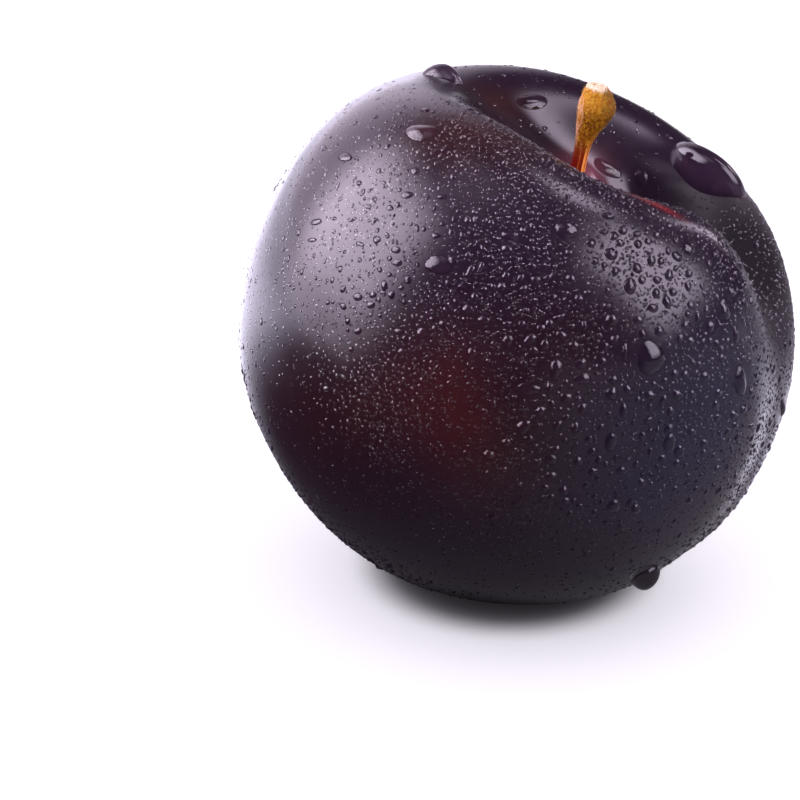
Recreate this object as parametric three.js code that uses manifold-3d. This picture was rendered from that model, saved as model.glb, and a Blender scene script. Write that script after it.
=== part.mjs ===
// A ripe black plum as picked: one fruit, with the furrow down its side and the hollow round its
// stem, and the short woody stem itself.
//
// Units are millimetres and +Z is up. The origin is on the small flat spot that the plum rests on.
// The fruit is shaped in a frame of its own and then leant over. In that frame +Z runs from the
// blossom end to the stem, +X points to the furrow, -Y to the full cheek and +Y to the flat cheek.

import * as THREE from "three";
import { mergeVertices } from "three/addons/utils/BufferGeometryUtils.js";
import Module from "manifold-3d";

const { degToRad, lerp, clamp } = THREE.MathUtils;

// ---------------------------------------------------------------- driving dimensions

// The fruit's half widths at its widest ring, and the mean radius that its heights are set against.
const HALF_WIDTH = { furrow: 32, back: 31, fullCheek: 28.5, flatCheek: 25.5 };
const MEAN_RADIUS = 30;

// The crown and the base: height from the widest ring, and squareness (2 is an ellipse).
const CROWN = { height: 31.4, squareness: 2.17 };
const BASE = { height: 28.5, squareness: 2.15 };
const CROWN_SHARPNESS = 4; // how quickly the crown's shape turns into the base's
const CROWN_LEAN = 1.8; // the crown leans this far to the full cheek

// The blossom end runs out to a blunt point, dimpled where the flower sat.
const BLOSSOM_END = { reach: 2.8, radius: 15 };
const BLOSSOM_DIMPLE = { depth: 1.2, radius: 5 };

// The hollow round the stem is steep by the furrow and shelves gently at the back.
const HOLLOW = { depth: 11, steepness: 2.4, blend: 4 };
const HOLLOW_REACH = { furrow: 11.7, back: 18.5, fullCheek: 11.3, flatCheek: 9.1 };

// The furrow starts beside the stem, is deepest where it crosses the rim of the hollow, and fades
// towards the blossom end.
const FURROW = { rimDepth: 6, sideDepth: 0.7, rimAngle: 24.5, start: 3, softEdge: 2, blend: 1.5 };
const FURROW_HALF_WIDTH = { fullCheek: 4.4, flatCheek: 2.9 };
const FURROW_FADE = { from: 90, over: 140 }; // degrees from the stem end

// The stem: a thin shaft that swells into a knob, where it parted from the twig.
const STEM_FOOT = { x: -1.25, y: -0.6, z: 19.5 };
const STEM_ROOT = 1; // how far the foot reaches down into the fruit
const STEM_LEAN = degToRad(15);
const STEM_BEND = { offset: 0.65, height: 8.8, spread: 2.5 };
const STEM_OUTLINE = [
  { radius: 0.95, height: 0 },
  { radius: 0.78, height: 1.4 },
  { radius: 0.8, height: 3.5 },
  { radius: 1.03, height: 5.1 },
  { radius: 1.62, height: 7 },
  { radius: 2, height: 8.4 },
  { radius: 1.93, height: 9.5 },
  { radius: 1.5, height: 10.6 },
  { radius: 1.05, height: 11.2 },
];
const STEM_TOP = 11.5; // the crown of the low dome that closes the knob
const SOCKET_GAP = 0.3; // between the stem's foot and the pit that it grows from

// How the plum lies: leant towards +X, turned about its own axis, and flattened where it rests.
const LEAN = degToRad(24.5);
const TURN = degToRad(-26.5);
const REST_DEPTH = 1;

// Facets.
const FRUIT_SEGMENTS = 64;
const FRUIT_RINGS = 56;
const FURROW_GATHER = 0.4; // draws the fruit's meridians in towards the furrow
const STEM_SEGMENTS = 20;
const STEM_RINGS = 26;

// ---------------------------------------------------------------- solids

const manifold = await Module();
manifold.setup();

// The geometry with each shared corner stored once and only its positions left.
function welded(geometry) {
  geometry.deleteAttribute("normal");
  geometry.deleteAttribute("uv");
  return mergeVertices(geometry, 1e-5);
}

// A closed geometry as a solid that can be cut.
function solidOf(geometry) {
  const closed = welded(geometry);
  return new manifold.Manifold(
    new manifold.Mesh({
      numProp: 3,
      vertProperties: new Float32Array(closed.attributes.position.array),
      triVerts: new Uint32Array(closed.index.array),
    }),
  );
}

// A cut solid as a geometry that a mesh can show.
function geometryOf(solid) {
  const { vertProperties, triVerts } = solid.getMesh();
  const geometry = new THREE.BufferGeometry();
  geometry.setAttribute("position", new THREE.BufferAttribute(vertProperties, 3));
  geometry.setIndex(new THREE.BufferAttribute(triVerts, 1));
  geometry.computeVertexNormals();
  return geometry;
}

// Calls move(point) on every corner of a geometry and stores what the point has become.
function moveCorners(geometry, move) {
  const corners = geometry.attributes.position;
  const point = new THREE.Vector3();
  for (let i = 0; i < corners.count; i++) {
    point.fromBufferAttribute(corners, i);
    move(point, i);
    corners.setXYZ(i, point.x, point.y, point.z);
  }
}

// ---------------------------------------------------------------- fruit

// 0 well below zero, 1 well above it, and a smooth rise between.
function rise(value, softness) {
  return 0.5 + 0.5 * Math.tanh(value / softness);
}

// A hill of height 1 that falls away over a distance of one spread.
function hill(distance, spread) {
  return Math.exp(-((distance / spread) ** 2));
}

// The fruit's outer form without its furrow, at an angle from the stem end and one round the axis.
function bodyPoint(polar, azimuth) {
  const out = Math.sin(polar);
  const up = Math.cos(polar);
  const crownShare = rise(up, 1 / CROWN_SHARPNESS);
  const squareness = lerp(BASE.squareness, CROWN.squareness, crownShare);
  const height = lerp(BASE.height, CROWN.height, crownShare);
  const sideways = out ** squareness;
  const upwards = Math.abs((up * MEAN_RADIUS) / height) ** squareness;
  const reach = (sideways + upwards) ** (-1 / squareness);

  const along = reach * out * Math.cos(azimuth);
  const across = reach * out * Math.sin(azimuth);
  const x = along * (along > 0 ? HALF_WIDTH.furrow : HALF_WIDTH.back);
  const y = across * (across > 0 ? HALF_WIDTH.flatCheek : HALF_WIDTH.fullCheek);
  const z = reach * up * MEAN_RADIUS;
  const lean = (CROWN_LEAN * z * crownShare) / MEAN_RADIUS;
  const sink = lerp(blossomReach(Math.hypot(x, y)), hollowDepth(x, y), crownShare);
  return new THREE.Vector3(x, y - lean, z - sink);
}

// How far the hollow round the stem sinks below the crown.
function hollowDepth(x, y) {
  const { furrow, back, fullCheek, flatCheek } = HOLLOW_REACH;
  const along = x / lerp(back, furrow, rise(x, HOLLOW.blend));
  const across = y / lerp(fullCheek, flatCheek, rise(y, HOLLOW.blend));
  return HOLLOW.depth * Math.exp(-(Math.hypot(along, across) ** HOLLOW.steepness));
}

// How far the blossom end runs out beyond the base, less its dimple.
function blossomReach(radius) {
  const point = BLOSSOM_END.reach * hill(radius, BLOSSOM_END.radius);
  const dimple = BLOSSOM_DIMPLE.depth * hill(radius, BLOSSOM_DIMPLE.radius);
  return point - dimple;
}

// How deep the furrow is cut at a point of the body.
function furrowDepth(point, polar) {
  const degrees = THREE.MathUtils.radToDeg(polar);
  const rim = hill(degrees - FURROW.rimAngle, FURROW.rimAngle);
  const fade = clamp(1 - (degrees - FURROW_FADE.from) / FURROW_FADE.over, 0, 1);
  const { fullCheek, flatCheek } = FURROW_HALF_WIDTH;
  const halfWidth = lerp(fullCheek, flatCheek, rise(point.y, FURROW.blend));
  const across = hill(point.y, halfWidth) * rise(point.x - FURROW.start, FURROW.softEdge);
  return lerp(FURROW.sideDepth, FURROW.rimDepth, rim) * fade * across;
}

// The whole fruit in its own frame, before it is cut for its rest and its stem.
function fruitGeometry() {
  const ball = new THREE.SphereGeometry(1, FRUIT_SEGMENTS, FRUIT_RINGS);
  ball.rotateX(Math.PI / 2);
  const geometry = welded(ball);
  const polars = [];
  moveCorners(geometry, (point) => {
    const polar = Math.acos(clamp(point.z, -1, 1));
    const even = Math.atan2(point.y, point.x);
    point.copy(bodyPoint(polar, even - FURROW_GATHER * Math.sin(even)));
    polars.push(polar);
  });
  geometry.computeVertexNormals();
  const normals = geometry.attributes.normal.clone();
  const inward = new THREE.Vector3();
  moveCorners(geometry, (point, i) => {
    inward.fromBufferAttribute(normals, i).negate();
    point.addScaledVector(inward, furrowDepth(point, polars[i]));
  });
  return geometry;
}

// ---------------------------------------------------------------- stem

// The stem upright on its foot, which is at the origin.
function stemGeometry() {
  const outline = new THREE.SplineCurve(
    STEM_OUTLINE.map(({ radius, height }) => new THREE.Vector2(radius, height)),
  );
  const foot = STEM_OUTLINE[0].radius;
  const profile = [
    new THREE.Vector2(0, -STEM_ROOT),
    new THREE.Vector2(foot, -STEM_ROOT),
    ...outline.getPoints(STEM_RINGS),
    new THREE.Vector2(0, STEM_TOP),
  ];
  const geometry = new THREE.LatheGeometry(profile, STEM_SEGMENTS);
  geometry.rotateX(Math.PI / 2);
  moveCorners(geometry, (point) => {
    point.x += STEM_BEND.offset * hill(point.z - STEM_BEND.height, STEM_BEND.spread);
  });
  return geometry;
}

// The round pit that the stem's foot stands in, with clearance all round.
function socketGeometry() {
  const radius = STEM_OUTLINE[0].radius + SOCKET_GAP;
  const depth = STEM_ROOT + SOCKET_GAP;
  const socket = new THREE.CylinderGeometry(radius, radius, 2 * depth, STEM_SEGMENTS);
  socket.rotateX(Math.PI / 2);
  return socket;
}

// ---------------------------------------------------------------- assembly

const plum = new THREE.Group();
plum.rotation.set(0, LEAN, TURN);
plum.updateMatrix();

const whole = fruitGeometry();
const leant = whole.clone().applyMatrix4(plum.matrix);
leant.computeBoundingBox();
plum.position.z = -(leant.boundingBox.min.z + REST_DEPTH);
plum.updateMatrix();

const stem = new THREE.Mesh(
  stemGeometry(),
  new THREE.MeshStandardMaterial({ color: 0x8a5a24, roughness: 0.8, metalness: 0 }),
);
stem.name = "stem";
stem.position.set(STEM_FOOT.x, STEM_FOOT.y, STEM_FOOT.z);
stem.rotation.y = -STEM_LEAN;
stem.updateMatrix();

const socket = solidOf(socketGeometry().applyMatrix4(stem.matrix));
const table = new THREE.BoxGeometry(100, 100, 20).translate(0, 0, -10);
const belowRest = solidOf(table.applyMatrix4(plum.matrix.clone().invert()));

const fruit = new THREE.Mesh(
  geometryOf(solidOf(whole).subtract(belowRest).subtract(socket)),
  new THREE.MeshStandardMaterial({ color: 0x2e1c2a, roughness: 0.3, metalness: 0 }),
);
fruit.name = "fruit";

plum.add(fruit, stem);

export default plum;
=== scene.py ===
# %% [markdown]
# # A wet black plum
# A black plum is one fruit with a short woody stem. Its skin is thin, waxy and almost black, and
# here it is freshly rinsed, so hundreds of water drops sit on it. The frame below is the packed
# CAD model. It fixes where the fruit and the stem are, and everything made here is fitted to it.

# %% Load the frame
import math

import bpy
import numpy as np
from mathutils import Matrix, Vector, noise
from mathutils.bvhtree import BVHTree
from mathutils.kdtree import KDTree


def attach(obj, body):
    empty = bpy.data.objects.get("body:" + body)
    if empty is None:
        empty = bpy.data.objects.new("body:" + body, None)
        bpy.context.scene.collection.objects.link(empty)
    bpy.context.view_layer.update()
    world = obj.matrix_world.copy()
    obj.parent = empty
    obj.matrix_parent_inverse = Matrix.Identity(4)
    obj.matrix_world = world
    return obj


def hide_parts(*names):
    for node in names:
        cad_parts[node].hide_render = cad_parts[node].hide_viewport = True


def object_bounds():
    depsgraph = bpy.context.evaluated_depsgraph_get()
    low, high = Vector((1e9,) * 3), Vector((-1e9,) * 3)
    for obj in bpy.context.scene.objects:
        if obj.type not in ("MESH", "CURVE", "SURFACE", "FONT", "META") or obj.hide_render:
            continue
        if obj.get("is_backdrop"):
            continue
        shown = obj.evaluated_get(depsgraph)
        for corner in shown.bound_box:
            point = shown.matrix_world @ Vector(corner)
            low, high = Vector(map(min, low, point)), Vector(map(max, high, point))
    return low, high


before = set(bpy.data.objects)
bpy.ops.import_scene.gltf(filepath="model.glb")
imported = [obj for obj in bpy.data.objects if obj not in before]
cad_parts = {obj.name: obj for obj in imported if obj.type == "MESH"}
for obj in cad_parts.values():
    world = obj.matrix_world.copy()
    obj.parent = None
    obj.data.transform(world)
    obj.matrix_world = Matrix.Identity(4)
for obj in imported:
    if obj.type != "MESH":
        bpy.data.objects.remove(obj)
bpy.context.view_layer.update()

MM = 0.001  # one millimetre in the scene's metres
print("nodes", sorted(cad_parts))

# %% [markdown]
# ## Camera
# A long lens far away keeps the plum round. The camera looks down a little, so that the hollow round
# the stem is seen. Later cells also use its three axes to find the place on the skin that is seen at
# a given pixel, which is how the big drops are placed.

# %% The camera and its axes
FRAME_SIDE = 800  # pixels, both ways
SENSOR = 36  # mm across the frame
LENS = 190.7
ELEVATION = math.radians(26.5)
DISTANCE = 475 * MM
FRUIT_CENTRE = Vector((0, 0, 29.56)) * MM
FRUIT_CENTRE_PIXEL = (511.2, 331.3)

RIGHT = Vector((1, 0, 0))
UP = Vector((0, math.sin(ELEVATION), math.cos(ELEVATION)))
TOWARD = Vector((0, -math.cos(ELEVATION), math.sin(ELEVATION)))
FOCAL_PIXELS = LENS / SENSOR * FRAME_SIDE
PIXEL = DISTANCE / FOCAL_PIXELS  # what one pixel measures at the fruit's centre

aim_right = (FRUIT_CENTRE_PIXEL[0] - FRAME_SIDE / 2) * PIXEL
aim_up = (FRAME_SIDE / 2 - FRUIT_CENTRE_PIXEL[1]) * PIXEL
camera_place = FRUIT_CENTRE - RIGHT * aim_right - UP * aim_up + TOWARD * DISTANCE

camera_data = bpy.data.cameras.new("camera")
camera_data.lens = LENS
camera_data.sensor_width = SENSOR
camera_data.clip_start = 0.01
camera_data.clip_end = 100
camera = bpy.data.objects.new("camera", camera_data)
camera_turn = Matrix((RIGHT, UP, TOWARD)).transposed().to_4x4()
camera.matrix_world = Matrix.Translation(camera_place) @ camera_turn
bpy.context.scene.collection.objects.link(camera)
bpy.context.scene.camera = camera
print("a pixel is", round(PIXEL / MM, 3), "mm at the fruit")

# %% [markdown]
# ## Helpers
# Colours are written as sRGB hex values, which is how they are read off a screen, and one function
# turns them to the linear values that a shader works in. A second function adds a shader node with
# its settings and links, so that each material reads as a list of what feeds what. Sockets go by
# name where they have one of their own. Materials all use the object's own coordinates in metres.

# %% Colours and nodes
def linear(hex_colour):
    """An sRGB hex colour such as "#2b1a26" as linear RGBA."""
    channels = [int(hex_colour[i:i + 2], 16) / 255 for i in (1, 3, 5)]
    return [c / 12.92 if c <= 0.04045 else ((c + 0.055) / 1.055) ** 2.4 for c in channels] + [1.0]


def add_node(tree, kind, inputs=None, **settings):
    """Adds a node. inputs maps the name or number of each socket to a value or to what feeds it:
    another node's output, or a node, which stands for the first of its outputs in use."""
    node = tree.nodes.new(kind)
    for name, value in settings.items():
        setattr(node, name, value)
    for key, value in (inputs or {}).items():
        in_use = [socket for socket in node.inputs if socket.enabled and socket.name == key]
        socket = in_use[0] if in_use else node.inputs[key]
        if isinstance(value, bpy.types.Node):
            value = next(output for output in value.outputs if output.enabled)
        if isinstance(value, bpy.types.NodeSocket):
            tree.links.new(value, socket)
        else:
            socket.default_value = value
    return node


def new_material(name):
    """A material, the tree that its nodes go in, and the output that says where on the object it is."""
    material = bpy.data.materials.new(name)
    material.use_nodes = True
    tree = material.node_tree
    tree.nodes.clear()
    return material, tree, add_node(tree, "ShaderNodeTexCoord").outputs["Object"]


print("a middle grey in linear light", round(linear("#808080")[0], 3))

# %% [markdown]
# ## Studio
# The plum stands on a white table in a white room. A large softbox on the left and a smaller one on
# the right give the two big soft highlights of a glossy dark fruit. A top light and a dim ceiling
# reach into the hollow, and a strip and a pale sweep behind light the edges. Nothing bright stands
# in front, which keeps the skin deep.

# %% The table
FLOOR_RADIUS = 3.0
FLOOR_SIDES = 96

floor_angles = [2 * math.pi * i / FLOOR_SIDES for i in range(FLOOR_SIDES)]
floor_corners = [(FLOOR_RADIUS * math.cos(a), FLOOR_RADIUS * math.sin(a), 0) for a in floor_angles]
floor_mesh = bpy.data.meshes.new("floor")
floor_mesh.from_pydata(floor_corners, [], [list(range(FLOOR_SIDES))])
floor = bpy.data.objects.new("floor", floor_mesh)
bpy.context.scene.collection.objects.link(floor)
floor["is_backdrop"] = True
print("the table is", 2 * FLOOR_RADIUS, "m across")

# %% [markdown]
# The table is matt white laminate, so a plain diffuse shader with a faint mottling does. Round the
# place where the plum rests its colour is darkened towards black: a painted contact shadow. The
# plum's edges mirror the table behind it, and an evenly white one would give them all the same
# bright rim. So glossy rays see the table dimmed, with a glow that grows behind the plum and fades
# further back, a deep one on the left and a short one on the right. The camera alone sees a little
# more light on it, so that it comes out white, but none near the plum, which deepens the shadow there.

# %% The table's laminate
FLOOR_WHITE, FLOOR_MOTTLED = "#f1eff4", "#f8f7fa"
MOTTLES_PER_METRE = 12.0
GLOW_TURN = 50 * MM  # this far to the side, one side's values have turned into the other's

floor_material, tree, position = new_material("matt_white_laminate")
to_right, to_back, _ = add_node(tree, "ShaderNodeSeparateXYZ", {0: position}).outputs
from_plum = add_node(tree, "ShaderNodeVectorMath", {0: position}, operation="LENGTH")
path = add_node(tree, "ShaderNodeLightPath")
by_gloss, by_camera = path.outputs["Is Glossy Ray"], path.outputs["Is Camera Ray"]

rises = {}  # smooth changes over the table: along what, from where to where, from what to what
for name, along, start, end, low, high in (
    ("outside_painted_shadow", from_plum, 11 * MM, 18 * MM, 0.2, 1.0),
    ("fill", from_plum, 13 * MM, 19 * MM, 0.0, 0.46),
    ("dimming", to_right, -GLOW_TURN, GLOW_TURN, 0.95, 0.30),
    ("left_grown", to_back, 10 * MM, 88 * MM, 0.0, 4.8),
    ("left_kept", to_back, 110 * MM, 240 * MM, 1.0, 0.5),
    ("right_grown", to_back, 2 * MM, 16 * MM, 0.0, 1.4),
    ("right_kept", to_back, 22 * MM, 52 * MM, 1.0, 0.18),
):
    rises[name] = add_node(tree, "ShaderNodeMapRange", {
        "Value": along, "From Min": start, "From Max": end, "To Min": low, "To Max": high,
    }, interpolation_type="SMOOTHSTEP")
dimmed, left_glow, right_glow = (
    add_node(tree, "ShaderNodeMath", {0: a, 1: b}, operation="MULTIPLY") for a, b in (
        (by_gloss, rises["dimming"]), (rises["left_grown"], rises["left_kept"]),
        (rises["right_grown"], rises["right_kept"])))

mottle = add_node(tree, "ShaderNodeTexNoise", {
    "Vector": position, "Scale": MOTTLES_PER_METRE, "Detail": 3.0})
tone = add_node(tree, "ShaderNodeMix", {
    "Factor": mottle, "A": linear(FLOOR_WHITE), "B": linear(FLOOR_MOTTLED)}, data_type="RGBA")
# Painted contact shadow: the laminate's colour goes towards black round where the plum rests.
shadow_painted = add_node(tree, "ShaderNodeMix", {
    "Factor": rises["outside_painted_shadow"], "A": [0, 0, 0, 1], "B": tone}, data_type="RGBA")
laminate = add_node(tree, "ShaderNodeBsdfDiffuse", {"Color": shadow_painted})
black = add_node(tree, "ShaderNodeBsdfDiffuse", {"Color": [0, 0, 0, 1]})
shown = add_node(tree, "ShaderNodeMixShader", {0: dimmed, 1: laminate, 2: black})
print("changes over the table", list(rises))

# %% The glow that glossy rays see
GLOW_TINT = "#eee8ff"

glow = add_node(tree, "ShaderNodeMapRange", {
    "Value": to_right, "From Min": -GLOW_TURN, "From Max": GLOW_TURN, "To Min": left_glow,
    "To Max": right_glow}, interpolation_type="SMOOTHSTEP")
glow_in_gloss = add_node(tree, "ShaderNodeMath", {0: glow, 1: by_gloss}, operation="MULTIPLY")
own_light = add_node(tree, "ShaderNodeMath", {
    0: by_camera, 1: rises["fill"], 2: glow_in_gloss}, operation="MULTIPLY_ADD")
tint = add_node(tree, "ShaderNodeMix", {
    "Factor": by_gloss, "A": linear(FLOOR_WHITE), "B": linear(GLOW_TINT)}, data_type="RGBA")
shining = add_node(tree, "ShaderNodeEmission", {"Color": tint, "Strength": own_light})
lit = add_node(tree, "ShaderNodeAddShader", {0: shown, 1: shining})
add_node(tree, "ShaderNodeOutputMaterial", {"Surface": lit})
floor_mesh.materials.append(floor_material)
print("nodes in the laminate", len(tree.nodes))

# %% [markdown]
# The room lights everything from all round. In the gloss it would lie over the dark skin as a grey
# veil, so glossy rays see it almost black. The lamps would throw hard one-sided shadows, so light
# linking takes the table out of them, and the table shades only by contact. Water mirrors a lamp
# more sharply than wax does, so the two big softboxes leave it out and it has a pair of its own.

# %% The white room
ROOM_COLOUR = "#f9f3ff"
ROOM_IN_GLOSS, ROOM_ON_THE_TABLE = 0.10, 1.12

world = bpy.data.worlds.new("studio")
world.use_nodes = True
tree = world.node_tree
tree.nodes.clear()
path = add_node(tree, "ShaderNodeLightPath")
bright, dark = (
    add_node(tree, "ShaderNodeBackground", {"Color": linear(ROOM_COLOUR), "Strength": strength})
    for strength in (ROOM_ON_THE_TABLE, ROOM_IN_GLOSS))
room = add_node(tree, "ShaderNodeMixShader", {0: path.outputs["Is Glossy Ray"], 1: bright, 2: dark})
add_node(tree, "ShaderNodeOutputWorld", {"Surface": room})
bpy.context.scene.world = world
bpy.context.scene.view_settings.view_transform = "Standard"
print("of the room's light the gloss sees", round(ROOM_IN_GLOSS / ROOM_ON_THE_TABLE, 2))

# %% What the lights shine on
water_pieces, not_the_table, only_dry_things = (
    bpy.data.collections.new(name) for name in ("water_pieces", "not_the_table", "only_dry_things"))
for lit_things in (not_the_table, only_dry_things):
    lit_things.objects.link(floor)
    lit_things.collection_objects[0].light_linking.link_state = "EXCLUDE"
only_dry_things.children.link(water_pieces)
only_dry_things.collection_children[0].light_linking.link_state = "EXCLUDE"
print("groups", [group.name for group in (water_pieces, not_the_table, only_dry_things)])

# %% The lights
LIGHT_COLOUR, WATER_LIGHT_COLOUR = "#f9e9ff", "#f8ecff"
LIGHT_DISTANCE = 0.6
# Name, azimuth from the camera's side towards the right and elevation, in degrees, width and height
# in metres, radiance, the share of it that fades out at an edge, roll, and what it shines on.
SOFTBOXES = [
    ("left_softbox", -91.5, 24.5, 0.85, 0.75, 16.5, 0.36, 0, only_dry_things),
    ("right_softbox", 59, 35.5, 0.56, 0.56, 12, 0.22, 18, only_dry_things),
    ("top_softbox", 106, 67, 0.26, 0.26, 12.8, 0.35, 0, not_the_table),
    ("ceiling", -60, 68, 0.44, 0.44, 1.4, 0.35, 0, not_the_table),
    ("right_back_strip", 128, 24, 0.13, 0.34, 13, 0.35, 0, not_the_table),
    ("sweep_behind", -147, 18, 1.25, 0.85, 2.5, 0.4, 0, not_the_table),
    ("left_on_the_water", -93, 26, 0.88, 0.88, 14.5, 0.3, 0, water_pieces),
    ("right_on_the_water", 62, 36, 0.76, 0.76, 11.5, 0.3, 0, water_pieces),
]
print("lamps", [name for name, *_ in SOFTBOXES])


# %% Making the lights
def add_softbox(name, azimuth, elevation, width, height, radiance, edge, roll, shines_on):
    """A soft rectangle of light that faces the middle of the fruit."""
    azimuth, elevation, roll = (math.radians(angle) for angle in (azimuth, elevation, roll))
    ahead = math.cos(elevation)
    way = Vector((math.sin(azimuth) * ahead, -math.cos(azimuth) * ahead, math.sin(elevation)))
    data = bpy.data.lights.new(name, "AREA")
    data.shape = "RECTANGLE"
    data.size, data.size_y = width, height
    data.energy = radiance * math.pi * width * height
    data.color = linear(WATER_LIGHT_COLOUR if shines_on is water_pieces else LIGHT_COLOUR)[:3]
    data.use_nodes = True
    tree = data.node_tree
    tree.nodes.clear()
    place = add_node(tree, "ShaderNodeNewGeometry").outputs["Parametric"]
    fades = []
    for side in add_node(tree, "ShaderNodeSeparateXYZ", {0: place}).outputs[:2]:
        offset = add_node(tree, "ShaderNodeMath", {0: side, 1: 0.5}, operation="SUBTRACT")
        away = add_node(tree, "ShaderNodeMath", {0: offset}, operation="ABSOLUTE")
        fades.append(add_node(tree, "ShaderNodeMapRange", {
            "Value": away, "From Min": 0.5 - edge, "From Max": 0.5, "To Min": 1.0,
            "To Max": 0.0}, interpolation_type="SMOOTHSTEP"))
    fade = add_node(tree, "ShaderNodeMath", {0: fades[0], 1: fades[1]}, operation="MULTIPLY")
    glow = add_node(tree, "ShaderNodeEmission", {"Strength": fade})
    add_node(tree, "ShaderNodeOutputLight", {"Surface": glow})
    light = bpy.data.objects.new(name, data)
    turn = way.to_track_quat("Z", "Y").to_matrix().to_4x4() @ Matrix.Rotation(roll, 4, "Z")
    light.matrix_world = Matrix.Translation(FRUIT_CENTRE + way * LIGHT_DISTANCE) @ turn
    light.visible_camera = False
    light.light_linking.receiver_collection = shines_on
    bpy.context.scene.collection.objects.link(light)


for softbox in SOFTBOXES:
    add_softbox(*softbox)
print("light in all, watts", round(sum(lamp.energy for lamp in bpy.data.lights), 1))

# %% [markdown]
# ## The shape of the fruit
# The fruit is one closed form: a ball, a little squared off, with a hollow sunk in its crown, a
# blunt blossom end and a furrow down one side. It could be sculpted, but a plum is smooth, so a
# formula gives a truer surface. The same one made the CAD solid, and here it gets a finer mesh.
# In the fruit's own frame +Z is the stem, +X the furrow, -Y the full cheek. Sizes are millimetres.

# %% Dimensions of the fruit
HALF_WIDTH = {"furrow": 32, "back": 31, "full": 28.5, "flat": 25.5}
MEAN_RADIUS = 30
CROWN_HEIGHT, CROWN_SQUARENESS = 31.4, 2.17
BASE_HEIGHT, BASE_SQUARENESS = 28.5, 2.15
CROWN_SHARPNESS = 4
CROWN_LEAN = 1.8
BLOSSOM_REACH, BLOSSOM_RADIUS = 2.8, 15
DIMPLE_DEPTH, DIMPLE_RADIUS = 1.2, 5
HOLLOW_DEPTH, HOLLOW_STEEPNESS, HOLLOW_BLEND = 11, 2.4, 4
HOLLOW_REACH = {"furrow": 11.7, "back": 18.5, "full": 11.3, "flat": 9.1}
FURROW_RIM_DEPTH, FURROW_SIDE_DEPTH, FURROW_RIM_ANGLE = 6, 0.7, 24.5
FURROW_START, FURROW_SOFT_EDGE, FURROW_BLEND = 3, 2, 1.5
FURROW_HALF_WIDTH = {"full": 4.4, "flat": 2.9}
FURROW_FADE_FROM, FURROW_FADE_OVER = 90, 140
LEAN, TURN, REST_DEPTH = math.radians(24.5), math.radians(-26.5), 1
STEM_FOOT, STEM_LEAN = Vector((-1.25, -0.6, 19.5)), math.radians(15)
print("across the cheeks, mm", HALF_WIDTH["full"] + HALF_WIDTH["flat"])


# %% The outer form
def rise(value, softness):
    """0 well below zero, 1 well above it, and a smooth rise between."""
    return 0.5 + 0.5 * np.tanh(value / softness)


def hill(distance, spread):
    """1 in the middle, falling away over a distance of one spread."""
    return np.exp(-((distance / spread) ** 2))


def mix(a, b, share):
    """From a to b as share goes from 0 to 1."""
    return a + (b - a) * share


def hollow_depth(x, y):
    """How far the hollow round the stem sinks below the crown."""
    along = x / mix(HOLLOW_REACH["back"], HOLLOW_REACH["furrow"], rise(x, HOLLOW_BLEND))
    across = y / mix(HOLLOW_REACH["full"], HOLLOW_REACH["flat"], rise(y, HOLLOW_BLEND))
    return HOLLOW_DEPTH * np.exp(-(np.hypot(along, across) ** HOLLOW_STEEPNESS))


def blossom_reach(radius):
    """How far the blossom end runs out beyond the base, less its dimple."""
    return BLOSSOM_REACH * hill(radius, BLOSSOM_RADIUS) - DIMPLE_DEPTH * hill(radius, DIMPLE_RADIUS)


def body_points(polar, azimuth):
    """The form without its furrow, at angles from the stem end and round the axis."""
    out, up = np.sin(polar), np.cos(polar)
    crown = rise(up, 1 / CROWN_SHARPNESS)
    squareness = mix(BASE_SQUARENESS, CROWN_SQUARENESS, crown)
    height = mix(BASE_HEIGHT, CROWN_HEIGHT, crown)
    reach = (out ** squareness + np.abs(up * MEAN_RADIUS / height) ** squareness) ** (-1 / squareness)
    along, across = reach * out * np.cos(azimuth), reach * out * np.sin(azimuth)
    x = along * np.where(along > 0, HALF_WIDTH["furrow"], HALF_WIDTH["back"])
    y = across * np.where(across > 0, HALF_WIDTH["flat"], HALF_WIDTH["full"])
    z = reach * up * MEAN_RADIUS
    lean = CROWN_LEAN * z * crown / MEAN_RADIUS
    sink = mix(blossom_reach(np.hypot(x, y)), hollow_depth(x, y), crown)
    return np.stack([x, y - lean, z - sink], -1)


def furrow_depth(points, polar):
    """How deep the furrow is cut at each point of the form."""
    degrees = np.degrees(polar)
    rim = hill(degrees - FURROW_RIM_ANGLE, FURROW_RIM_ANGLE)
    fade = np.clip(1 - (degrees - FURROW_FADE_FROM) / FURROW_FADE_OVER, 0, 1)
    half = mix(FURROW_HALF_WIDTH["full"], FURROW_HALF_WIDTH["flat"], rise(points[..., 1], FURROW_BLEND))
    across = hill(points[..., 1], half) * rise(points[..., 0] - FURROW_START, FURROW_SOFT_EDGE)
    return mix(FURROW_SIDE_DEPTH, FURROW_RIM_DEPTH, rim) * fade * across


print("from the hollow's floor to the blossom end, mm",
      round(np.ptp(body_points(np.array([1e-3, math.pi - 1e-3]), np.zeros(2))[:, 2]), 1))

# %% [markdown]
# The mesh is a globe grid of rings and meridians, closed by one corner at each end. Its meridians
# are gathered towards the furrow, where the form bends most. A real plum is never perfectly even,
# so slow swells of a tenth of a millimetre are added, and the skin rises in a low collar round the
# stem. Corners that would go through the table are laid on it, which makes the flat resting spot.

# %% The fruit's mesh
RINGS, MERIDIANS = 288, 336
FURROW_GATHER = 0.4
SWELL_DEPTH, SWELL_LENGTH = 0.09, 9.0
COLLAR_HEIGHT, COLLAR_RADIUS = 0.45, 1.5
STEP = 1e-4  # radians, for measuring slopes

ring_angles = np.arange(1, RINGS) / RINGS * math.pi
even = np.arange(MERIDIANS) / MERIDIANS * 2 * math.pi
polar, azimuth = np.meshgrid(ring_angles, even - FURROW_GATHER * np.sin(even), indexing="ij")
polar = np.concatenate([[STEP], polar.ravel(), [math.pi - STEP]])
azimuth = np.concatenate([[0], azimuth.ravel(), [0]])

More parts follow.
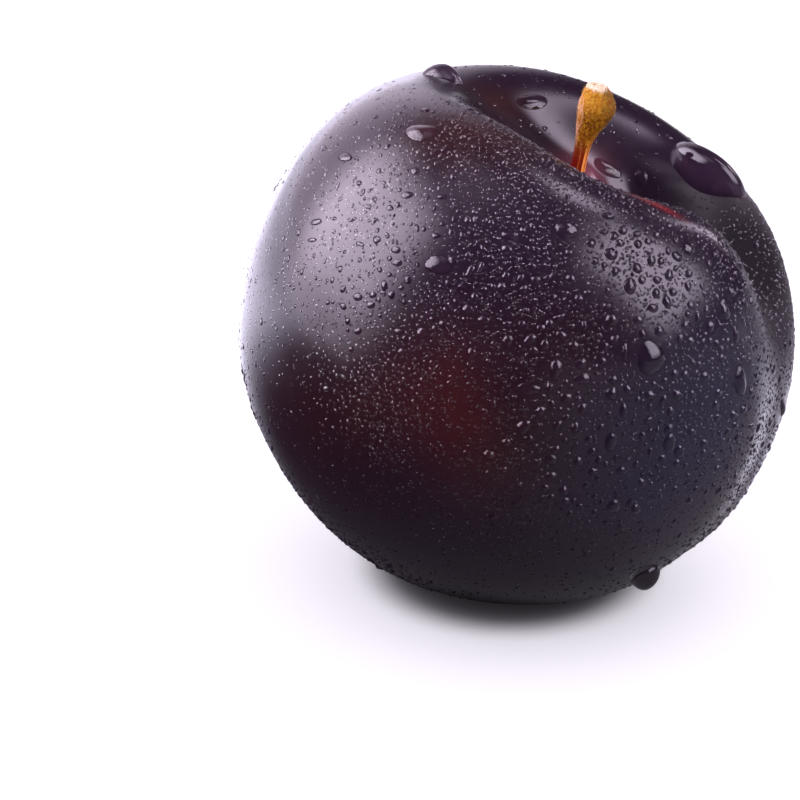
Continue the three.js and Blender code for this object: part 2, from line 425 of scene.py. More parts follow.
body = body_points(polar, azimuth)
down_slope = body_points(polar + STEP, azimuth) - body_points(polar - STEP / 2, azimuth)
round_slope = body_points(polar, azimuth + STEP) - body_points(polar, azimuth - STEP)
outward = np.cross(down_slope, round_slope)
outward /= np.linalg.norm(outward, axis=1, keepdims=True)
swell = np.array([noise.noise(Vector(p) / SWELL_LENGTH) for p in body])
from_stem = np.hypot(body[:, 0] - STEM_FOOT.x, body[:, 1] - STEM_FOOT.y)
collar = COLLAR_HEIGHT * hill(from_stem, COLLAR_RADIUS)
lift = SWELL_DEPTH * swell - furrow_depth(body, polar) + collar * (body[:, 2] > 0)
own_points = body + outward * lift[:, None]

lay = Matrix.Rotation(LEAN, 4, "Y") @ Matrix.Rotation(TURN, 4, "Z")
leant = own_points @ np.array(lay.to_3x3()).T
stand = Matrix.Translation((0, 0, -(leant[:, 2].min() + REST_DEPTH))) @ lay
skin_points = (leant + np.array(stand.translation)) * MM
skin_points[:, 2] = np.maximum(skin_points[:, 2], 0)
print("skin corners", len(skin_points), "lift to the table, mm", round(stand.translation.z, 3))


# %% Making a piece from its corners
def globe_faces(rings, sides):
    """The faces of a globe grid with a corner at each end: the first corner is the top one."""
    first = 1 + np.arange(rings - 1) * sides
    last = first[-1] + sides
    neighbours = [(i, (i + 1) % sides) for i in range(sides)]
    faces = [(0, first[0] + i, first[0] + j) for i, j in neighbours]
    for upper, lower in zip(first, first[1:]):
        faces += [(upper + i, lower + i, lower + j, upper + j) for i, j in neighbours]
    return faces + [(last, first[-1] + j, first[-1] + i) for i, j in neighbours]


def make_piece(name, points, faces, material):
    """A smooth-shaded mesh object that moves with the plum."""
    mesh = bpy.data.meshes.new(name)
    mesh.from_pydata([tuple(p) for p in points], [], [tuple(int(i) for i in f) for f in faces])
    mesh.shade_smooth()
    mesh.materials.append(material)
    piece = bpy.data.objects.new(name, mesh)
    bpy.context.scene.collection.objects.link(piece)
    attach(piece, "root")
    return piece


def store(piece, name, values):
    """Keeps one number for each corner of a piece, for its material to read."""
    attribute = piece.data.attributes.new(name, "FLOAT", "POINT")
    attribute.data.foreach_set("value", np.asarray(values, np.float32))


skin_material, skin_tree, skin_position = new_material("waxy_black_plum_skin")
skin = make_piece("fruit_skin", skin_points, globe_faces(RINGS, MERIDIANS), skin_material)
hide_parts("fruit")
skin_faces = [tuple(p.vertices) for p in skin.data.polygons]
skin_bvh = BVHTree.FromPolygons([Vector(p) for p in skin_points], skin_faces)
print("skin faces", len(skin_faces))

# %% [markdown]
# ## Finding places on the skin
# The larger drops are seen one by one, so each is placed by the pixel where it is seen. A ray from
# the camera through that pixel meets the skin at the drop's real place, so the drop sits on the
# skin from every side. The same is used for the skin's own zones, such as where the blush is.

# %% From a pixel to the skin
def on_skin(pixel):
    """The place on the skin seen at a pixel, and its outward direction."""
    right = (pixel[0] - FRAME_SIDE / 2) / FOCAL_PIXELS
    up = (FRAME_SIDE / 2 - pixel[1]) / FOCAL_PIXELS
    ray = RIGHT * right + UP * up - TOWARD
    place, normal, _, _ = skin_bvh.ray_cast(camera_place, ray.normalized())
    if place is None:
        raise ValueError(f"no skin is seen at {pixel}")
    return place, normal


def zone(points, pixel, radius, stretch=1.0, tilt=0.0):
    """A soft spot: 1 at the skin seen at a pixel, fading over a radius in mm, longer along its tilt."""
    place, normal = on_skin(pixel)
    long_way = RIGHT * math.cos(math.radians(tilt)) + UP * math.sin(math.radians(tilt))
    long_way = (long_way - normal * long_way.dot(normal)).normalized()
    away = points - np.array(place)
    along = away @ np.array(long_way)
    squared = (away ** 2).sum(1) - along ** 2 + (along / stretch) ** 2
    return np.exp(-squared / (radius * MM) ** 2)


print("middle of the fruit in view, mm", [round(c / MM, 1) for c in on_skin((520, 330))[0]])

# %% [markdown]
# ## The skin
# Black plum skin is a waxy cuticle over cells full of dark blue-red pigment. Close to, it isn't
# black: it is wine red where the sun reached it least, brown by the hollow and blue-black elsewhere.
# Some zones are painted light and shade: a red glow of light through the thin skin deep in the
# furrow and round the stem, a bluish painted reflection low on the right, painted shade in red-black
# low on the left and in the middle, and painted shade, almost black, on the far cheek. It could be
# painted as an image, but a few soft zones kept at the mesh's corners, with noise at the sizes of the
# real mottling, need none. The gloss is that of wax: soft, with a low IOR, a little uneven, and dull
# where the bloom is still on the far cheek. The finest mist of water is far too fine to model, so it
# is relief: little domes in the bump.

# %% Zones of the skin
SKIN_ZONES = {  # for each paint its soft spots: strength, pixel, radius in mm, stretch and tilt
    "blush": (
        (0.75, (458, 418), 5.2, 1.6, 95), (0.38, (398, 392), 6.0, 1.3, 20),
        (0.15, (540, 350), 6.0, 1.6, 10)),
    # Painted reflection: a dark blue tone low on the right, for the room's bluish reflection there.
    "painted_reflection_blue": ((1, (700, 430), 9.0, 1.5, 70),),
    # Painted shade: a darker red-black low on the left and low in the middle.
    "painted_shade_red_black": ((0.9, (325, 410), 9.0, 1.6, 10), (0.7, (520, 445), 4.5, 1.5, 70)),
    "hollow_tan": ((1, (470, 133), 4.6, 1.8, -10), (1, (500, 104), 3.0, 1.4, 0)),
    # Painted glow: red light shining through the thin skin along the furrow's rim.
    "painted_furrow_glow": ((1, (655, 204), 0.65, 4.5, -27),),
}
# The bloom's zone also darkens the colour almost to black there: painted shade on the far cheek.
BLOOM_AND_PAINTED_SHADE_ZONE = (1.2, (753, 258), 4.6, 1.8, -62)
# Painted glow: pink light shining through the thin skin round the stem.
PAINTED_STEM_GLOW_RADIUS, BLOSSOM_SCAR_RADIUS = 2.8, 2.0


def store_masks(piece, points):
    """Keeps with a piece how much each paint shows at each of its points, which are in metres."""
    for name, spots in SKIN_ZONES.items():
        together = sum(strength * zone(points, *spot) for strength, *spot in spots)
        store(piece, name, np.clip(together, 0, 1))
    own = (points / MM - np.array(stand.translation)) @ np.array(lay.to_3x3())
    from_stem = np.hypot(own[:, 0] - STEM_FOOT.x, own[:, 1] - STEM_FOOT.y)
    # the ring round the stem is a painted glow of light through the skin
    store(piece, "painted_stem_glow", hill(from_stem, PAINTED_STEM_GLOW_RADIUS) * (own[:, 2] > 0))
    store(piece, "blossom", hill(np.hypot(own[:, 0], own[:, 1]), BLOSSOM_SCAR_RADIUS) * (own[:, 2] < 0))


store_masks(skin, skin_points)
store(skin, "bloom_and_painted_shade", np.clip(BLOOM_AND_PAINTED_SHADE_ZONE[0] * zone(skin_points, *BLOOM_AND_PAINTED_SHADE_ZONE[1:]), 0, 1))
print("skin zones", sorted(a.name for a in skin.data.attributes if a.data_type == "FLOAT"))

# %% The skin's colour
SKIN_DARK, SKIN_BLUE, SKIN_PORE, BLOSSOM_BROWN = "#11060e", "#130b17", "#341f2a", "#6b4a35"
SKIN_PAINTS = {
    # Next row: the near black and the red-black are painted shade, the dark blue a painted reflection.
    "painted_reflection_blue": "#12101e", "painted_shade_red_black": "#130508", "bloom_and_painted_shade": "#0b050a", "blush": "#270b0c",
    # Next row: the furrow's red and the stem ring's pink are a painted glow of light through the skin.
    "hollow_tan": "#1d0b0d", "painted_furrow_glow": "#521216", "painted_stem_glow": "#5c3038",
}
MOTTLE_MM, PORE_MM = 6.0, 1.4
MOTTLE_LOW, MOTTLE_HIGH = 0.3, 0.7  # nearly all of the mottling's noise is between these
PATCHY_LOW, PATCHY_HIGH = 0.7, 1.15  # what the mottling makes of a paint's share
PORE_CORE, PORE_RIM, PORE_STRENGTH = 0.05, 0.11, 0.3  # the first two as shares of the pores' spacing


def plum_colour(tree, position):
    """The skin's colour at a position, and its slow mottling."""
    mottle = add_node(tree, "ShaderNodeTexNoise", {
        "Vector": position, "Scale": 1 / (MOTTLE_MM * MM), "Detail": 5.0, "Roughness": 0.6})
    patchy = add_node(tree, "ShaderNodeMapRange", {
        "Value": mottle, "From Min": MOTTLE_LOW, "From Max": MOTTLE_HIGH, "To Min": PATCHY_LOW,
        "To Max": PATCHY_HIGH})
    layers = [(mottle, SKIN_BLUE)]
    for name, paint in SKIN_PAINTS.items():
        mask = add_node(tree, "ShaderNodeAttribute", attribute_name=name).outputs["Fac"]
        shown = add_node(tree, "ShaderNodeMath", {0: mask, 1: patchy}, operation="MULTIPLY")
        layers.append((shown, paint))
    pores = add_node(tree, "ShaderNodeTexVoronoi", {"Vector": position, "Scale": 1 / (PORE_MM * MM)})
    specks = add_node(tree, "ShaderNodeMapRange", {
        "Value": pores.outputs["Distance"], "From Min": PORE_CORE, "From Max": PORE_RIM,
        "To Min": PORE_STRENGTH, "To Max": 0.0})
    blossom = add_node(tree, "ShaderNodeAttribute", attribute_name="blossom").outputs["Fac"]
    layers += [(specks, SKIN_PORE), (blossom, BLOSSOM_BROWN)]
    colour = linear(SKIN_DARK)
    for share, paint in layers:
        colour = add_node(tree, "ShaderNodeMix", {
            "Factor": share, "A": colour, "B": linear(paint)}, data_type="RGBA")
    return colour, mottle


print("paints with a zone of their own", list(SKIN_PAINTS))

# %% The skin's gloss
BLOOM_ROUGHNESS = 1.0
SMOOTHEST, ROUGHEST = 0.17, 0.25  # the wax's roughness over the mottling
GRAIN_MM, GRAIN_HEIGHT = 0.25, 0.004  # real wax is finer, and this is as coarse as it needs to show

tree, position = skin_tree, skin_position
colour, mottle = plum_colour(tree, position)
waxy = add_node(tree, "ShaderNodeMapRange", {
    "Value": mottle, "From Min": MOTTLE_LOW, "From Max": MOTTLE_HIGH, "To Min": SMOOTHEST,
    "To Max": ROUGHEST})
bloom_and_painted_shade = add_node(tree, "ShaderNodeAttribute", attribute_name="bloom_and_painted_shade").outputs["Fac"]
rough = add_node(tree, "ShaderNodeMix", {"Factor": bloom_and_painted_shade, "A": waxy, "B": BLOOM_ROUGHNESS})
grain = add_node(tree, "ShaderNodeTexNoise", {
    "Vector": position, "Scale": 1 / (GRAIN_MM * MM), "Detail": 2.0})
grainy = add_node(tree, "ShaderNodeBump", {
    "Height": grain, "Strength": 1.0, "Distance": GRAIN_HEIGHT * MM})
print("grains to a pixel", round(PIXEL / MM / GRAIN_MM, 2))

# %% The finest mist
SKIN_IOR = 1.35
FINEST_MM = 0.36  # each of the finest drops has a cell of this size
FINEST_SMALLEST, FINEST_LARGEST = 0.22, 0.52  # radii, as shares of a cell
FINEST_WARP, FINEST_WARP_MM = 0.5, 0.9

finest_share = add_node(tree, "ShaderNodeAttribute", attribute_name="finest_mist").outputs["Fac"]
swirl = add_node(tree, "ShaderNodeTexNoise", {
    "Vector": position, "Scale": 1 / (FINEST_WARP_MM * MM), "Detail": 0.0})
warped = add_node(tree, "ShaderNodeVectorMath", {
    0: swirl.outputs["Color"], 1: [FINEST_WARP * MM] * 3, 2: position}, operation="MULTIPLY_ADD")
finest = add_node(tree, "ShaderNodeTexVoronoi", {"Vector": warped, "Scale": 1 / (FINEST_MM * MM)})
drawn = add_node(tree, "ShaderNodeSeparateColor", {0: finest.outputs["Color"]})
present = add_node(tree, "ShaderNodeMath", {
    0: drawn.outputs["Red"], 1: finest_share}, operation="LESS_THAN")
away_squared = add_node(tree, "ShaderNodeMath", {
    0: finest.outputs["Distance"], 1: 2.0}, operation="POWER")
domes = add_node(tree, "ShaderNodeMapRange", {
    "Value": drawn.outputs["Green"], "To Min": FINEST_SMALLEST, "To Max": FINEST_LARGEST})
for operation, other in (
    ("MULTIPLY", present), ("POWER", 2.0), ("SUBTRACT", away_squared), ("MAXIMUM", 0.0), ("SQRT", 0.0),
):
    domes = add_node(tree, "ShaderNodeMath", {0: domes, 1: other}, operation=operation)
misted = add_node(tree, "ShaderNodeBump", {
    "Height": domes, "Strength": 1.0, "Distance": FINEST_MM * MM, "Normal": grainy})
shader = add_node(tree, "ShaderNodeBsdfPrincipled", {
    "Base Color": colour, "Roughness": rough, "IOR": SKIN_IOR, "Normal": misted})
add_node(tree, "ShaderNodeOutputMaterial", {"Surface": shader})
print("nodes in the skin", len(tree.nodes))

# %% [markdown]
# ## The stem
# The stem is green wood that has dried: a thin ribbed shaft, dark red where it leaves the fruit, and
# a knob of corky golden bark where it broke away from the twig, with a pale dry scar on its end.
# A lathe alone would look turned, so the lathe's corners are then moved out and in: ribs along the
# shaft, grains on the knob and a crater in the scar. It stands where the CAD stem stands.

# %% Dimensions of the stem
STEM_OUTLINE = [  # radius and height above the foot, in mm
    (0.95, 0), (0.78, 1.4), (0.8, 3.5), (1.03, 5.1), (1.62, 7), (2, 8.4), (1.93, 9.5), (1.5, 10.6),
    (1.05, 11.2),
]
STEM_TOP, STEM_ROOT = 11.5, 1.0
STEM_BEND, STEM_BEND_HEIGHT, STEM_BEND_SPREAD = 0.65, 8.8, 2.5
STEM_SIDES, STEM_STEPS, SCAR_RINGS = 120, 14, 14
KNOB_FROM, KNOB_BLEND, SCAR_FROM, SCAR_BLEND = 5.2, 1.2, 10.75, 0.25  # heights
RIB_COUNT, RIB_DEPTH = 9, 0.045
RIB_WANDER, RIB_WANDER_SCALE = 0.8, (0.3, 0.3, 0.25)  # how far ribs wander, and how fast each way
GRAIN_SIZE, GRAIN_DEPTH, SHAFT_GRAIN = 0.34, 0.075, 0.25  # the last is the share left on the shaft
EVEN_RADIUS = 0.6  # inside this, ribs and grains fade out towards the axis
RIM_RADIUS, RIM_SPREAD, RIM_HEIGHT = 1.15, 0.3, 0.1  # of the scar's raised rim
CRATER_RADIUS, CRATER_DEPTH, CRATER_GRAIN, CRATER_GRAIN_DEPTH = 0.75, 0.28, 0.3, 0.12


def smooth_curve(points, steps):
    """A smooth curve through the points, as a Catmull-Rom spline."""
    points = np.array(points, float)
    ends = np.concatenate([points[:1], points, points[-1:]])
    made = []
    for a, b, c, d in zip(ends, ends[1:], ends[2:], ends[3:]):
        for t in np.arange(steps) / steps:
            speed_in, speed_out = (c - a) / 2, (d - b) / 2
            made.append((2 * t**3 - 3 * t**2 + 1) * b + (t**3 - 2 * t**2 + t) * speed_in
                        + (3 * t**2 - 2 * t**3) * c + (t**3 - t**2) * speed_out)
    return np.array(made + [points[-1]])


def speckle(points, size, seed):
    """Noise from about -1 to 1 at each point, with features of about one size in mm."""
    return np.array([noise.noise(Vector(p) / size + Vector((seed, 0, 0))) for p in points])


print("the stem's height above its foot, mm", STEM_TOP)

# %% The stem's mesh
scar_share = np.arange(1, SCAR_RINGS) / SCAR_RINGS
scar_radius, scar_height = STEM_OUTLINE[-1]
scar = np.stack([
    scar_radius * (1 - scar_share),
    scar_height + (STEM_TOP - scar_height) * np.sin(scar_share * math.pi / 2)], -1)
foot = [(STEM_OUTLINE[0][0], -STEM_ROOT)]
profile = np.concatenate([foot, smooth_curve(STEM_OUTLINE, STEM_STEPS), scar])[::-1]
stem_radius, stem_height = (np.repeat(profile[:, k], STEM_SIDES) for k in (0, 1))
stem_turn = np.tile(2 * math.pi * np.arange(STEM_SIDES) / STEM_SIDES, len(profile))

on_knob = rise(stem_height - KNOB_FROM, KNOB_BLEND)
on_scar = rise(stem_height - SCAR_FROM, SCAR_BLEND)
upright = np.stack([stem_radius * np.cos(stem_turn), stem_radius * np.sin(stem_turn), stem_height], -1)
grains = speckle(upright, GRAIN_SIZE, 0) + 0.5 * speckle(upright, GRAIN_SIZE / 2.2, 9)
wander = RIB_WANDER * speckle(upright * RIB_WANDER_SCALE, 1.0, 5)
ribs = np.cos(RIB_COUNT * stem_turn + 3 * wander) + 0.5 * np.cos(2 * RIB_COUNT * stem_turn + 5 * wander)
rough_grains = GRAIN_DEPTH * grains * (SHAFT_GRAIN + (1 - SHAFT_GRAIN) * on_knob)
moved_out = RIB_DEPTH * ribs * (1 - on_knob) + rough_grains
stem_radius = stem_radius + moved_out * np.clip(stem_radius / EVEN_RADIUS, 0, 1)
crater = RIM_HEIGHT * hill(stem_radius - RIM_RADIUS, RIM_SPREAD)
crater -= CRATER_DEPTH * hill(stem_radius, CRATER_RADIUS)
stem_height = stem_height + on_scar * (crater + CRATER_GRAIN_DEPTH * speckle(upright, CRATER_GRAIN, 3))
bend = STEM_BEND * hill(stem_height - STEM_BEND_HEIGHT, STEM_BEND_SPREAD)
around = [stem_radius * np.cos(stem_turn) + bend, stem_radius * np.sin(stem_turn), stem_height]
top = [STEM_BEND * hill(STEM_TOP - STEM_BEND_HEIGHT, STEM_BEND_SPREAD), 0, STEM_TOP - CRATER_DEPTH]
stem_upright = np.concatenate([[top], np.stack(around, -1), [[0, 0, -STEM_ROOT]]])

stem_stand = stand @ Matrix.Translation(STEM_FOOT) @ Matrix.Rotation(-STEM_LEAN, 4, "Y")
stem_points = (stem_upright @ np.array(stem_stand.to_3x3()).T + np.array(stem_stand.translation)) * MM
print("stem corners", len(stem_points))

# %% [markdown]
# The bark is coloured by height, and by side for painted light and shade: red at the foot with a
# pale orange strip of painted highlight on its right, golden brown above, olive painted shade on the
# knob's right side and a pale rim of painted highlight on its left edge. Each colour is a layer over
# those before it. Its mask is kept at the corners, and specks the size of the bark's grains or fibres
# break it up, going from one of its two tones to the other.

# %% The stem's bark
BARK_BROWN, BARK_GOLD, BARK_SUNNY = "#4e2804", "#784806", "#8e681a"
# Painted highlights on the bark; the pale one is also the real colour of the hairs.
BARK_ORANGE_HIGHLIGHT, PALE_HIGHLIGHT_AND_HAIR = "#c27c3a", "#9c7658"
BARK_ROUGHNESS, BARK_IOR = 0.7, 1.15  # cork is full of pores, which leave it almost no gloss
SPECK_MM, FIBRE_MM, FIBRE_HEIGHT = 0.28, 0.1, 0.03  # real fibres are finer, and wouldn't show

stem_material, tree, position = new_material("dry_stem_bark")
specks = add_node(tree, "ShaderNodeTexNoise", {
    "Vector": position, "Scale": 1 / (SPECK_MM * MM), "Detail": 2.0, "Roughness": 0.7})
fibres = add_node(tree, "ShaderNodeTexNoise", {
    "Vector": position, "Scale": 1 / (FIBRE_MM * MM), "Detail": 1.0})
colour = linear(BARK_BROWN)
# Each row is a mask, what breaks the layer up and over what range, and its two tones. None as a
# mask is the whole stem, and None as a tone is the colour so far.
for mask_name, texture, low, high, tone, other_tone in (
    (None, specks, 0.38, 0.52, BARK_BROWN, BARK_GOLD),
    (None, specks, 0.54, 0.68, None, "#a87c18"),
    ("sunny", specks, 0.40, 0.60, BARK_GOLD, BARK_SUNNY),
    # painted shade: olive on the knob's right side, away from the big left softbox
    ("olive_painted_shade", specks, 0.40, 0.62, BARK_BROWN, "#38300a"),
    ("red", fibres, 0.35, 0.65, "#741206", "#4c0602"),
    # painted highlight: a pale orange strip on the right side of the shaft
    ("orange_highlight", fibres, 0.35, 0.65, BARK_ORANGE_HIGHLIGHT, BARK_ORANGE_HIGHLIGHT),
    # painted highlight: a pale rim on the knob's left edge, where the left softbox grazes it
    ("pale_rim_highlight", specks, 0.30, 0.50, None, PALE_HIGHLIGHT_AND_HAIR),
    ("scar", specks, 0.34, 0.42, "#5a2c0c", "#b0a08a"),
):
    share = add_node(tree, "ShaderNodeMapRange", {"Value": texture, "From Min": low, "From Max": high})
    under = linear(tone) if tone else colour
    layer = add_node(tree, "ShaderNodeMix", {
        "Factor": share, "A": under, "B": linear(other_tone)}, data_type="RGBA")
    if mask_name:
        mask = add_node(tree, "ShaderNodeAttribute", attribute_name=mask_name)
        layer = add_node(tree, "ShaderNodeMix", {
            "Factor": mask.outputs["Fac"], "A": colour, "B": layer}, data_type="RGBA")
    colour = layer
fibrous = add_node(tree, "ShaderNodeBump", {
    "Height": fibres, "Strength": 1.0, "Distance": FIBRE_HEIGHT * MM})
bark = add_node(tree, "ShaderNodeBsdfPrincipled", {
    "Base Color": colour, "Roughness": BARK_ROUGHNESS, "IOR": BARK_IOR, "Normal": fibrous})
add_node(tree, "ShaderNodeOutputMaterial", {"Surface": bark})

stem = make_piece("stem_bark", stem_points, globe_faces(len(profile) + 1, STEM_SIDES), stem_material)
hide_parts("stem")
print("nodes in the bark", len(tree.nodes))

# %% Where each bark colour shows
STREAK_DEPTH, STREAK_SIZE, STREAK_SQUEEZE = 0.25, 0.5, (1, 1, 0.3)  # longer up the stem than across
height = stem_upright[:, 2]
corner_normals = np.array([v.normal[:] for v in stem.data.vertices])
to_right = corner_normals @ np.array(RIGHT)
streaks = STREAK_DEPTH * speckle(stem_upright * STREAK_SQUEEZE, STREAK_SIZE, 21)
rim_highlight_side = rise(-0.88 - to_right + 1.2 * streaks, 0.1)
for mask_name, mask in (  # from or up to a height in mm, and where the bark faces right or left
    ("red", rise(4.3 - height, 1.0) * rise(0.45 + streaks - to_right, 0.2)),
    # painted highlight on the shaft's right side
    ("orange_highlight", rise(4.2 - height, 1.2) * rise(to_right - 0.55 + 0.6 * streaks, 0.12)),
    # painted shade on the knob's right side
    ("olive_painted_shade", rise(height - 6.0, 0.8) * rise(to_right - 0.35 + 2 * streaks, 0.3) * 0.85),
    ("sunny", rise(height - 8.4 + streaks, 0.6)),
    # painted highlight on the knob's left edge
    ("pale_rim_highlight", rise(height - 4.4, 0.8) * rise(10.0 - height, 0.4) * rim_highlight_side),
    ("scar", rise(height - 10.9 - 0.8 * streaks, 0.12) * rise(0.6 - to_right + streaks, 0.15)),
):
    store(stem, mask_name, np.clip(mask, 0, 1))
print("bark masks", sorted(a.name for a in stem.data.attributes if a.data_type == "FLOAT"))

# %% [markdown]
# Under a lens the knob is furred with the short pale hairs that many plum stems keep. They catch the
# light on its edge. A particle system would be the usual way, but the exported model drops those, so
# each hair is a slim closed spike of its own, sunk in the bark, and one mesh holds them all.

# %% The stem's down
HAIR_COUNT, HAIR_LENGTH, HAIR_RADIUS = 1200, 0.24, 0.016  # mm, thicker than real hairs, to show
HAIR_SHORTEST, HAIR_LONGEST = 0.5, 1.3  # against the length above
HAIR_SIDES, HAIR_ROOT, HAIR_FROM, HAIR_UNRULY = 3, 0.05, 4.5, 0.45

hair_draws = np.random.default_rng(5)
ring_corners = np.arange(1, len(stem_points) - 1)
room_for_hair = np.maximum(stem_radius, 0) * rise(stem_height - HAIR_FROM, 1.0)
room_for_hair /= room_for_hair.sum()
hair_corners = hair_draws.choice(ring_corners, HAIR_COUNT, replace=False, p=room_for_hair)
hair_feet, hair_ways = stem_points[hair_corners], corner_normals[hair_corners]
hair_ways = hair_ways + HAIR_UNRULY * hair_draws.standard_normal((HAIR_COUNT, 3))
hair_ways /= np.linalg.norm(hair_ways, axis=1, keepdims=True)
hair_across = np.cross(hair_ways, hair_draws.standard_normal((HAIR_COUNT, 3)))
hair_across /= np.linalg.norm(hair_across, axis=1, keepdims=True)
hair_lengths = HAIR_LENGTH * hair_draws.uniform(HAIR_SHORTEST, HAIR_LONGEST, (HAIR_COUNT, 1))
hair_points, hair_faces = [], []
for side in range(HAIR_SIDES):
    turn = 2 * math.pi * side / HAIR_SIDES
    spoke = hair_across * math.cos(turn) + np.cross(hair_ways, hair_across) * math.sin(turn)
    hair_points.append(hair_feet - hair_ways * HAIR_ROOT * MM + spoke * HAIR_RADIUS * MM)
hair_points.append(hair_feet + hair_ways * hair_lengths * MM)
for i in range(HAIR_COUNT):
    base, tip = [i + k * HAIR_COUNT for k in range(HAIR_SIDES)], i + HAIR_SIDES * HAIR_COUNT
    hair_faces += [(base[k], base[(k + 1) % HAIR_SIDES], tip) for k in range(HAIR_SIDES)]
    hair_faces.append(tuple(base[::-1]))
print("hairs", HAIR_COUNT, "mm long up to", HAIR_LENGTH * HAIR_LONGEST)

# %% What the hairs look like
TUFT_MM, TUFT_LOW, TUFT_HIGH, HAIR_ROUGHNESS = 0.9, 0.4, 0.6, 0.6

hair_material, tree, position = new_material("pale_stem_hair")
tufts = add_node(tree, "ShaderNodeTexNoise", {"Vector": position, "Scale": 1 / (TUFT_MM * MM)})
paler = add_node(tree, "ShaderNodeMapRange", {
    "Value": tufts, "From Min": TUFT_LOW, "From Max": TUFT_HIGH})
hair_colour = add_node(tree, "ShaderNodeMix", {
    "Factor": paler, "A": linear(BARK_SUNNY), "B": linear(PALE_HIGHLIGHT_AND_HAIR)}, data_type="RGBA")
hair = add_node(tree, "ShaderNodeBsdfPrincipled", {
    "Base Color": hair_colour, "Roughness": HAIR_ROUGHNESS, "IOR": BARK_IOR})
add_node(tree, "ShaderNodeOutputMaterial", {"Surface": hair})
stem_hairs = make_piece("stem_hairs", np.concatenate(hair_points), hair_faces, hair_material)
print("triangles in the hairs", sum(len(face) - 2 for face in hair_faces))

# %% [markdown]
# ## Water drops
# Water beads on a waxy skin. A small drop is a cap of a sphere. It meets fresh bloom at 50 to 60
# degrees and wax that is rubbed thin at 15 to 20, and a large one is flatter, as its weight pulls it
# down. The drops could be spheres pushed into the skin, but then each has the same hard round edge,
# so one function makes caps of any outline and height. Each is a closed body. Its dome is clear
# water, and its foot, a hair above the skin, is wetted skin: under water the wax has almost no gloss
# left, which is why a drop looks darker than the bright skin round it. A drop casts no shadow of its
# own, because clear water passes the light on and gathers it, so the skin beneath is a little paler.

# %% Water, and skin under water
WATER_IOR, WAX_IOR = 1.333, 1.42
WETTED_ROUGHNESS = 0.25
RIPPLE_MM, RIPPLE_DEPTH = 0.8, 0.004
FOCUSED_SHARE, FOCUSED_LIGHT = 0.013, "#6a5a6c"  # the light that a drop gathers on the skin below it

water_material, tree, position = new_material("clear_water")
ripple = add_node(tree, "ShaderNodeTexNoise", {
    "Vector": position, "Scale": 1 / (RIPPLE_MM * MM), "Detail": 1.0})
uneven = add_node(tree, "ShaderNodeBump", {
    "Height": ripple, "Strength": 1.0, "Distance": RIPPLE_DEPTH * MM})
water = add_node(tree, "ShaderNodeBsdfPrincipled", {
    "Base Color": [1, 1, 1, 1], "Roughness": 0.0, "IOR": WATER_IOR, "Transmission Weight": 1.0,
    "Normal": uneven})
add_node(tree, "ShaderNodeOutputMaterial", {"Surface": water})

wetted_material, tree, position = new_material("plum_skin_under_water")
colour, _ = plum_colour(tree, position)
paler = add_node(tree, "ShaderNodeMix", {
    "Factor": FOCUSED_SHARE, "A": colour, "B": linear(FOCUSED_LIGHT)}, data_type="RGBA")
wetted = add_node(tree, "ShaderNodeBsdfPrincipled", {
    "Base Color": paler, "Roughness": WETTED_ROUGHNESS, "IOR": WAX_IOR / WATER_IOR})
add_node(tree, "ShaderNodeOutputMaterial", {"Surface": wetted})
print("the wax's IOR against water", round(WAX_IOR / WATER_IOR, 3))


# %% The shape of a drop
def cap_points(sides, dome_rings, foot_rings, contact, wobble, phase):
    """Corners of round caps of radius 1 on z = 0, one row a drop, with heights as shares of the
    dome's. foot_rings are the foot's radii, from the edge in. wobble and phase bend the outline."""
    down = contact[:, None] * np.arange(1, dome_rings + 1) / dome_rings
    out = np.sin(down) / np.sin(contact[:, None])
    up = (np.cos(down) - np.cos(contact[:, None])) / (1 - np.cos(contact[:, None]))
    out = np.concatenate([out, np.broadcast_to(foot_rings, (len(out), len(foot_rings)))], 1)
    up = np.concatenate([up, np.zeros((len(up), len(foot_rings)))], 1)
    turn = 2 * math.pi * np.arange(sides) / sides
    bends = [wobble[:, k, None] * np.cos((k + 2) * turn + phase[:, k, None]) for k in range(2)]
    outline = 1 + sum(bends)
    around = np.stack([outline * np.cos(turn), outline * np.sin(turn)], -1)
    flat = out[:, :, None, None] * around[:, None]
    rings = np.concatenate([flat, np.broadcast_to(up[:, :, None, None], flat.shape[:3] + (1,))], -1)
    top = np.broadcast_to([0, 0, 1.0], (len(out), 1, 3))
    return np.concatenate([top, rings.reshape(len(out), -1, 3), 0 * top], 1)


# %% A mesh of many drops
def water_piece(name, points, count, sides, dome_rings, foot_rings):
    """One mesh of count caps, with water on their domes and wetted skin on their feet."""
    shape = globe_faces(dome_rings + foot_rings + 1, sides)
    step = len(points) // count
    faces = [tuple(int(i) + n * step for i in face) for n in range(count) for face in shape]
    piece = make_piece(name, points, faces, water_material)
    mesh = piece.data
    mesh.materials.append(wetted_material)
    is_foot = np.arange(len(shape)) >= sides * dome_rings
    mesh.polygons.foreach_set("material_index", np.tile(is_foot, count).astype(np.int32))
    ends = np.zeros(2 * len(mesh.edges), np.int32)
    mesh.edges.foreach_get("vertices", ends)
    on_edge = ((ends % step - 1) // sides == dome_rings - 1) & (ends % step > 0)
    sharp = on_edge.reshape(-1, 2).all(1)
    mesh.attributes.new("sharp_edge", "BOOLEAN", "EDGE").data.foreach_set("value", sharp)
    store_masks(piece, np.asarray(points))
    water_pieces.objects.link(piece)
    piece.visible_shadow = False
    print(name, count, "drops", count * sum(len(f) - 2 for f in shape), "triangles")


# %% [markdown]
# A rinsed fruit isn't wet evenly. It has dense patches, sparse ones and places where the water ran
# off, and drops stand up on fresh bloom but lie flat where it is rubbed away. So each zone of the
# skin has a share of beads and of mist, and a size and contact angle for its beads, and a point
# between zones takes a blend of them. The far side is patchy, and the skin near the table is dry.

